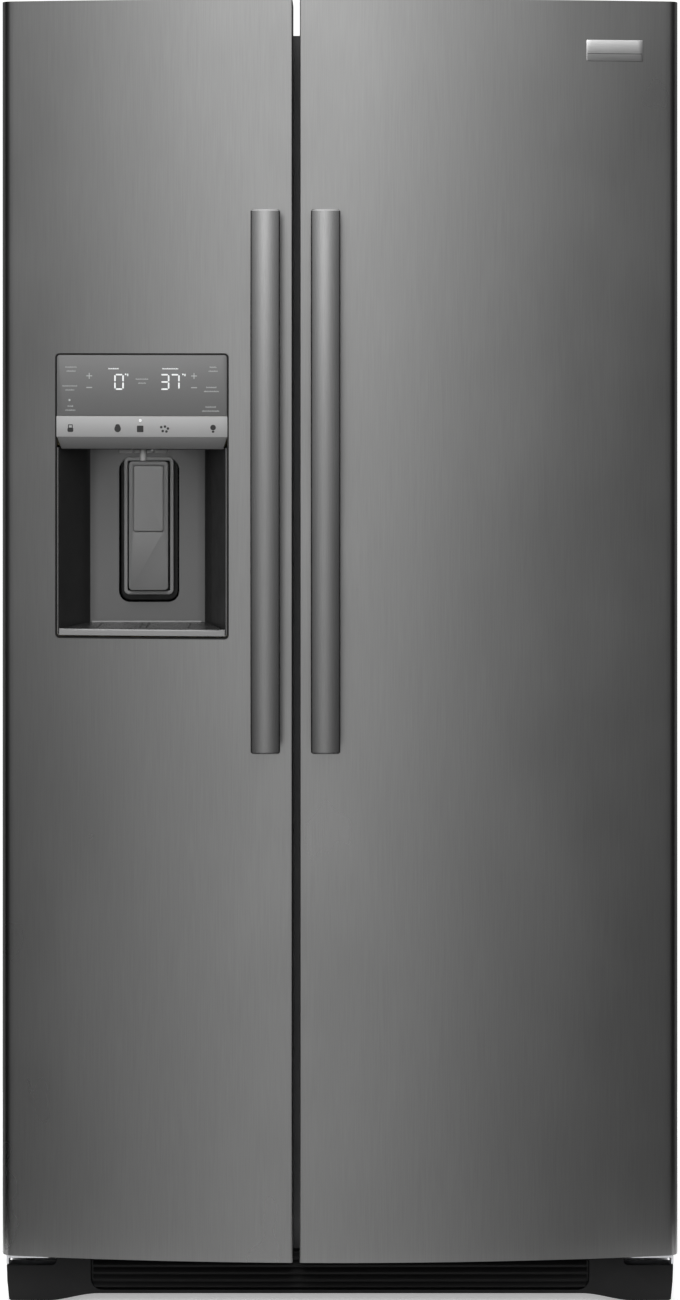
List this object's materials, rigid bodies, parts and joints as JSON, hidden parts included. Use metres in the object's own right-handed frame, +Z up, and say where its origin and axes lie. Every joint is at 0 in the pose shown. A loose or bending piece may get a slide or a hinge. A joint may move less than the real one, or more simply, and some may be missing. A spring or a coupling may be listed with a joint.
{
  "type": "side by side refrigerator",
  "caption": "Upright two-door fridge freezer with bowed metal doors, upright bar handles and a water and ice dispenser in the left door.",
  "frame": {"origin": "middle of the bounding box's footprint, on the floor", "axes": "+Z up, +X to the right as you face the doors, +Y towards the back, so the doors face -Y"},
  "size_m": [0.917, 0.7639, 1.773],
  "materials": {
    "painted_cabinet": "textured dark grey paint",
    "galvanised": "zinc coated sheet",
    "foam": "rigid foam",
    "liner_white": "semi gloss moulded liner",
    "frame_grey": "satin grey paint",
    "chassis_zinc": "zinc coated sheet",
    "grille_black": "satin black",
    "rubber_black": "matt",
    "hinge_steel": "zinc plated",
    "cover_plastic": "matt",
    "screw_steel": "plated",
    "compressor_black": "gloss black paint",
    "coil_copper": "tube and fins",
    "coil_aluminium": "tube and fins",
    "machine_cover_board": "matt grey board",
    "valve_white": "matt",
    "fan_black": "matt",
    "maker_white": "satin",
    "wire_white": "vinyl coated wire",
    "shelf_glass": "clear",
    "shelf_trim": "satin white trim",
    "clear_bin": "clear moulded bin",
    "basket_white": "satin",
    "roller_nylon": "matt nylon",
    "door_metal": "brushed dark stainless",
    "cap_plastic": "satin",
    "gasket_grey": "soft magnetic seal",
    "dispenser_black": "satin black",
    "panel_gloss": "gloss touch panel",
    "nozzle_white": "satin",
    "tray_grey": "satin",
    "paddle_grey": "satin",
    "handle_metal": "brushed stainless",
    "nameplate_metal": "satin, blank"
  },
  "bodies": {
    "cabinet": {"cabinet_wrapper": "painted_cabinet", "cabinet_back_panel": "galvanised", "cabinet_insulation": "foam", "freezer_liner": "liner_white", "fridge_liner": "liner_white", "face_frame": "frame_grey", "base_chassis": "chassis_zinc", "toe_grille": "grille_black", "leveling_feet": "rubber_black", "top_hinges": "hinge_steel", "bottom_hinges": "hinge_steel", "hinge_covers": "cover_plastic", "cabinet_screws": "screw_steel", "compressor": "compressor_black", "condenser_coil": "coil_copper", "fan_shroud": "cover_plastic", "machine_cover": "machine_cover_board", "water_valve": "valve_white", "cord_gland": "rubber_black", "evaporator_coil": "coil_aluminium", "evaporator_cover": "liner_white", "icemaker": "maker_white", "freezer_shelves": "wire_white", "shelf_glass": "shelf_glass", "shelf_frames": "shelf_trim", "auger_motor": "cover_plastic"},
    "condenser_fan": {"condenser_fan": "fan_black"},
    "evaporator_fan": {"evaporator_fan": "fan_black"},
    "rear_roller_left": {"rear_roller_left": "roller_nylon"},
    "rear_roller_right": {"rear_roller_right": "roller_nylon"},
    "icemaker_arm": {"icemaker_arm": "hinge_steel"},
    "ice_bin": {"ice_bin": "clear_bin"},
    "ice_auger": {"ice_auger": "hinge_steel"},
    "freezer_basket_upper": {"freezer_basket_upper": "basket_white"},
    "freezer_basket_lower": {"freezer_basket_lower": "basket_white"},
    "crisper_upper": {"crisper_upper": "clear_bin"},
    "crisper_lower": {"crisper_lower": "clear_bin"},
    "freezer_door": {"freezer_door_skin": "door_metal", "freezer_door_caps": "cap_plastic", "freezer_door_foam": "foam", "freezer_door_liner": "liner_white", "freezer_gasket": "gasket_grey", "freezer_door_bins": "clear_bin", "dispenser_housing": "dispenser_black", "control_panel": "panel_gloss", "ice_chute": "dispenser_black", "water_nozzle": "nozzle_white", "freezer_handle": "handle_metal"},
    "dispenser_paddle": {"dispenser_paddle": "paddle_grey"},
    "ice_flap": {"ice_flap": "rubber_black"},
    "drip_tray": {"drip_tray": "tray_grey"},
    "fridge_door": {"fridge_door_skin": "door_metal", "fridge_door_caps": "cap_plastic", "fridge_door_foam": "foam", "fridge_door_liner": "liner_white", "fridge_gasket": "gasket_grey", "fridge_door_bins": "clear_bin", "fridge_handle": "handle_metal", "nameplate": "nameplate_metal"},
    "dairy_lid": {"dairy_lid": "clear_bin"}
  },
  "joints": [
    {"name": "freezer_door_hinge", "type": "hinge", "parent": "cabinet", "child": "freezer_door", "pos_m": [-0.4405, -0.251, 0], "axis": [0, 0, -1], "range_deg": [0, 115]},
    {"name": "fridge_door_hinge", "type": "hinge", "parent": "cabinet", "child": "fridge_door", "pos_m": [0.4405, -0.251, 0], "axis": [0, 0, 1], "range_deg": [0, 115]},
    {"name": "paddle_pivot", "type": "hinge", "parent": "freezer_door", "child": "dispenser_paddle", "pos_m": [-0.26425, -0.2235, 1.138], "axis": [1, 0, 0], "range_deg": [0, 6], "stiffness_Nm_per_rad": 1.2},
    {"name": "ice_flap_pivot", "type": "hinge", "parent": "freezer_door", "child": "ice_flap", "pos_m": [-0.267, -0.2395, 1.176], "axis": [1, 0, 0], "range_deg": [0, 54]},
    {"name": "drip_tray_slide", "type": "slide", "parent": "freezer_door", "child": "drip_tray", "axis": [0, -1, 0], "range_m": [0, 0.08]},
    {"name": "dairy_lid_pivot", "type": "hinge", "parent": "fridge_door", "child": "dairy_lid", "pos_m": [0.2355, -0.128, 1.598], "axis": [1, 0, 0], "range_deg": [0, 80]},
    {"name": "ice_bin_slide", "type": "slide", "parent": "cabinet", "child": "ice_bin", "axis": [0, -1, 0], "range_m": [0, 0.136]},
    {"name": "ice_auger_spin", "type": "hinge", "parent": "ice_bin", "child": "ice_auger", "pos_m": [-0.246, 0, 1.33], "axis": [0, 1, 0], "continuous": true},
    {"name": "freezer_basket_upper_slide", "type": "slide", "parent": "cabinet", "child": "freezer_basket_upper", "axis": [0, -1, 0], "range_m": [0, 0.195]},
    {"name": "freezer_basket_lower_slide", "type": "slide", "parent": "cabinet", "child": "freezer_basket_lower", "axis": [0, -1, 0], "range_m": [0, 0.195]},
    {"name": "crisper_upper_slide", "type": "slide", "parent": "cabinet", "child": "crisper_upper", "axis": [0, -1, 0], "range_m": [0, 0.195]},
    {"name": "crisper_lower_slide", "type": "slide", "parent": "cabinet", "child": "crisper_lower", "axis": [0, -1, 0], "range_m": [0, 0.195]},
    {"name": "icemaker_arm_pivot", "type": "hinge", "parent": "cabinet", "child": "icemaker_arm", "pos_m": [-0.338, 0.03, 1.58], "axis": [1, 0, 0], "range_deg": [-30, 0]},
    {"name": "condenser_fan_spin", "type": "hinge", "parent": "cabinet", "child": "condenser_fan", "pos_m": [-0.156, 0.262, 0.15], "axis": [1, 0, 0], "continuous": true},
    {"name": "evaporator_fan_spin", "type": "hinge", "parent": "cabinet", "child": "evaporator_fan", "pos_m": [-0.246, 0.262, 1.13], "axis": [0, 1, 0], "continuous": true},
    {"name": "rear_roller_left_spin", "type": "hinge", "parent": "cabinet", "child": "rear_roller_left", "pos_m": [-0.425, 0.33, 0.02], "axis": [1, 0, 0], "continuous": true},
    {"name": "rear_roller_right_spin", "type": "hinge", "parent": "cabinet", "child": "rear_roller_right", "pos_m": [0.425, 0.33, 0.02], "axis": [1, 0, 0], "continuous": true}
  ],
  "couplings": [
    {"joint": "ice_flap_pivot", "follows": "paddle_pivot", "ratio": 9},
    {"joint": "ice_bin_slide", "follows": "freezer_door_hinge", "m_per_rad": 0.066},
    {"joint": "freezer_basket_upper_slide", "follows": "freezer_door_hinge", "m_per_rad": 0.095},
    {"joint": "freezer_basket_lower_slide", "follows": "freezer_door_hinge", "m_per_rad": 0.095},
    {"joint": "crisper_upper_slide", "follows": "fridge_door_hinge", "m_per_rad": 0.095},
    {"joint": "crisper_lower_slide", "follows": "fridge_door_hinge", "m_per_rad": 0.095}
  ]
}
